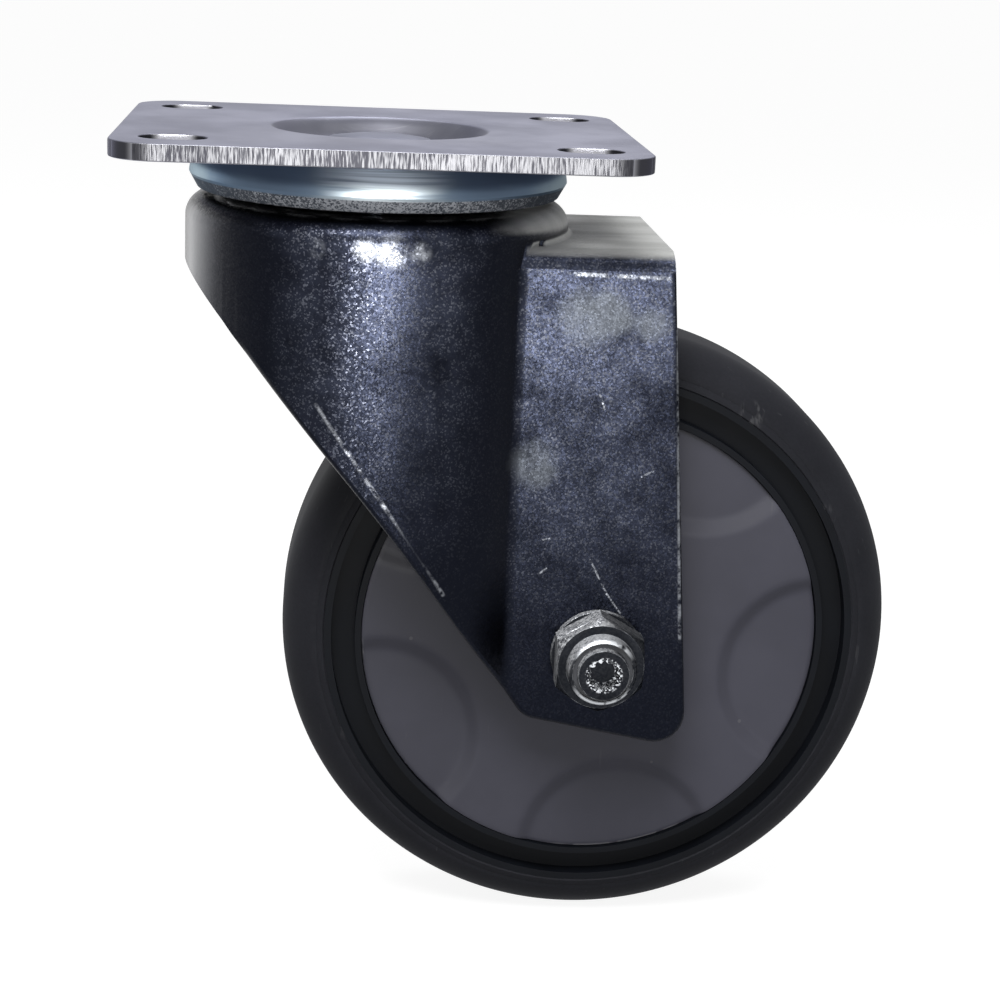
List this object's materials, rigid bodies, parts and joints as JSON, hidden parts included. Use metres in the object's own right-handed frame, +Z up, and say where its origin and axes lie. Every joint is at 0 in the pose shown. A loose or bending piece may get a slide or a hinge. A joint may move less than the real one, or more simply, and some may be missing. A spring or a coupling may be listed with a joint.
{
  "type": "swivel castor",
  "caption": "Swivel castor with a slotted top plate, ball-race swivel head, pressed steel fork and a rubber-tyred wheel on a roller bearing.",
  "frame": {"origin": "on the swivel axis at the plate's upper face", "axes": "+Z up along the swivel axis, out of the plate's upper face; +X towards the trailing wheel; Y along the wheel axle"},
  "size_m": [0.1575, 0.085, 0.162],
  "materials": {
    "zinc_plate": "satin zinc plate",
    "zinc_dish": "smooth zinc plate",
    "zinc_fork": "dark grained zinc plate",
    "pin_steel": "bright zinc plate",
    "ball_steel": "polished",
    "nylon": "matte",
    "tyre_rubber": "matte",
    "rim_plastic": "matte",
    "cover_plastic": "satin"
  },
  "bodies": {
    "plate": {"top_plate": "zinc_plate", "race_dish": "zinc_dish", "kingpin": "pin_steel", "lower_race": "zinc_dish"},
    "balls": {"upper_balls": "ball_steel", "lower_balls": "ball_steel"},
    "fork": {"fork": "zinc_fork", "axle_bolt": "pin_steel", "axle_nut": "pin_steel", "nut_ring": "nylon", "washer_near": "pin_steel", "washer_far": "pin_steel", "axle_sleeve": "ball_steel", "spacer_near": "zinc_dish", "spacer_far": "zinc_dish"},
    "wheel": {"tyre": "tyre_rubber", "wheel_rim": "rim_plastic", "cover_near": "cover_plastic", "cover_far": "cover_plastic"},
    "rollers": {"roller_cage": "nylon", "roller_needles": "ball_steel"}
  },
  "joints": [
    {"name": "fork_swivel", "type": "hinge", "parent": "plate", "child": "fork", "pos_m": [0, 0, 0], "axis": [0, 0, 1], "continuous": true},
    {"name": "ball_swivel", "type": "hinge", "parent": "plate", "child": "balls", "pos_m": [0, 0, 0], "axis": [0, 0, 1], "continuous": true},
    {"name": "wheel_spin", "type": "hinge", "parent": "fork", "child": "wheel", "pos_m": [0.045, 0, -0.0995], "axis": [0, 1, 0], "continuous": true},
    {"name": "roller_spin", "type": "hinge", "parent": "fork", "child": "rollers", "pos_m": [0.045, 0, -0.0995], "axis": [0, 1, 0], "continuous": true}
  ],
  "couplings": [
    {"joint": "ball_swivel", "follows": "fork_swivel", "ratio": 0.5},
    {"joint": "roller_spin", "follows": "wheel_spin", "ratio": 0.60938}
  ]
}
